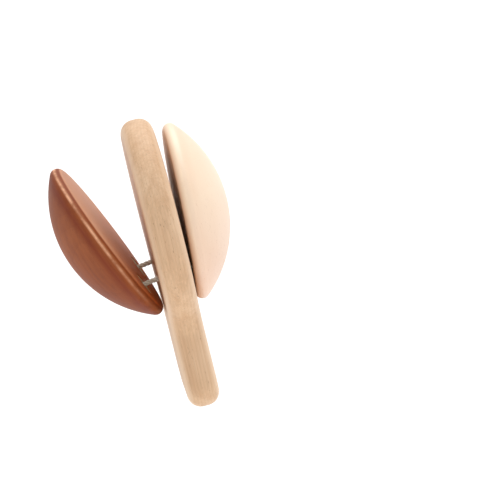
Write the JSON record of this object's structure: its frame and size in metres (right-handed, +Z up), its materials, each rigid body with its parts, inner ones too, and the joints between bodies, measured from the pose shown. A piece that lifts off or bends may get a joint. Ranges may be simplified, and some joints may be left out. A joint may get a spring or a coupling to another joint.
{
  "type": "castanets",
  "caption": "Hand clapper: a paddle-shaped wooden board with a domed wooden shell tied by cords to each side of its round head, so the shells rock and strike the board.",
  "frame": {"origin": "middle of the grip, where the hand holds it", "axes": "+Z up the handle to the round head, +X from the dark shell to the light shell across the board, +Y along the hinge lines, away from the viewer"},
  "size_m": [0.0828, 0.1, 0.1386],
  "materials": {
    "board_wood": "sanded, clear oiled, fine straight grain along the handle",
    "dark_wood": "red-brown stain under satin lacquer",
    "light_wood": "pale natural wood under satin lacquer",
    "plug_wood": "unfinished end grain",
    "cord": "twisted cotton, matt"
  },
  "bodies": {
    "handle": {"handle_board": "board_wood", "cord_front_dark": "cord", "cord_front_light": "cord", "cord_rear_dark": "cord", "cord_rear_light": "cord"},
    "dark_shell": {"dark_shell": "dark_wood", "dark_plug_front": "plug_wood", "dark_plug_rear": "plug_wood", "dark_knot_front": "cord", "dark_knot_rear": "cord"},
    "light_shell": {"light_shell": "light_wood", "light_plug_front": "plug_wood", "light_plug_rear": "plug_wood", "light_knot_front": "cord", "light_knot_rear": "cord"}
  },
  "joints": [
    {"name": "dark_shell_swing", "type": "hinge", "parent": "handle", "child": "dark_shell", "pos_m": [-0.01125, 0, 0.0327], "axis": [0, -1, 0], "range_deg": [-23, 3], "deforming": ["cord_front_dark", "cord_rear_dark"]},
    {"name": "light_shell_swing", "type": "hinge", "parent": "handle", "child": "light_shell", "pos_m": [0.01125, 0, 0.0347], "axis": [0, 1, 0], "range_deg": [-3, 23], "deforming": ["cord_front_light", "cord_rear_light"]}
  ],
  "couplings": [
    {"joint": "light_shell_swing", "follows": "dark_shell_swing", "ratio": -1}
  ]
}
